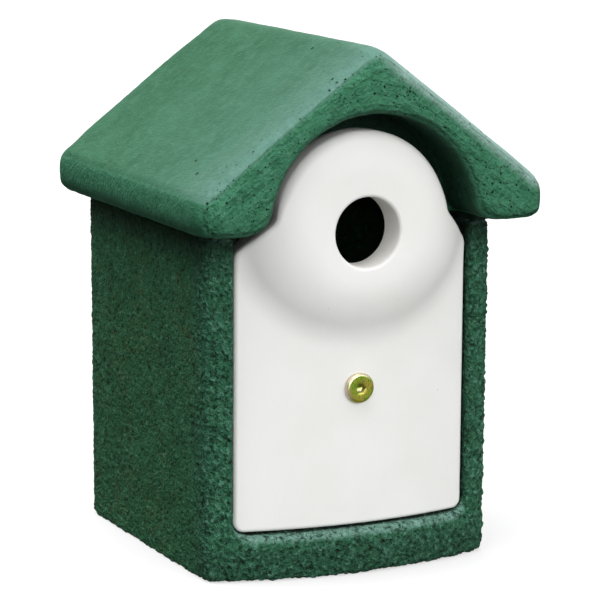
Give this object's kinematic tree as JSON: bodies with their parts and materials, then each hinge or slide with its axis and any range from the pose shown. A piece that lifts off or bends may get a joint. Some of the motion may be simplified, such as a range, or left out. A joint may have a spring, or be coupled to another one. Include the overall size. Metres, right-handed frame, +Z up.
{
  "type": "woodcrete nest box",
  "caption": "Green woodcrete nest box with a gabled roof, a round entrance in a domed white front panel that unbolts for cleaning, and a keyhole hanger at the back.",
  "frame": {"origin": "on the ground plane, under the middle of the roof, which is the middle of the box in X and Y", "axes": "+Z up, the entrance faces -Y, the back that hangs on a wall faces +Y, +X to the right as seen from the front"},
  "size_m": [0.172, 0.174, 0.2416],
  "materials": {
    "body_woodcrete": "rough, porous, painted green",
    "roof_woodcrete": "smoother cast face, painted green",
    "mortar": "rough",
    "white_cast_panel": "smooth satin white",
    "yellow_zinc": "yellow zinc plating on steel",
    "spring_steel": "satin",
    "galvanised_steel": "galvanised",
    "nylon": "matte grey"
  },
  "bodies": {
    "box": {"body_casting": "body_woodcrete", "roof_casting": "roof_woodcrete", "roof_mortar": "mortar", "crossbar": "galvanised_steel", "crossbar_nut": "galvanised_steel", "hanger_plate": "galvanised_steel", "hanger_screws": "galvanised_steel", "hanger_plugs": "nylon"},
    "panel": {"front_panel": "white_cast_panel"},
    "retainer": {"bolt_retainer": "spring_steel"},
    "bolt": {"panel_bolt": "yellow_zinc"}
  },
  "joints": [
    {"name": "panel_pull", "type": "slide", "parent": "box", "child": "panel", "axis": [0, -1, 0], "range_m": [0, 0.08]},
    {"name": "bolt_backout", "type": "slide", "parent": "panel", "child": "retainer", "axis": [0, -1, 0], "range_m": [0, 0.008]},
    {"name": "bolt_turn", "type": "hinge", "parent": "retainer", "child": "bolt", "pos_m": [0, -0.0688, 0.086], "axis": [0, -1, 0], "range_deg": [0, 2880]}
  ],
  "couplings": [
    {"joint": "bolt_turn", "follows": "bolt_backout", "rad_per_m": 6283.2}
  ]
}
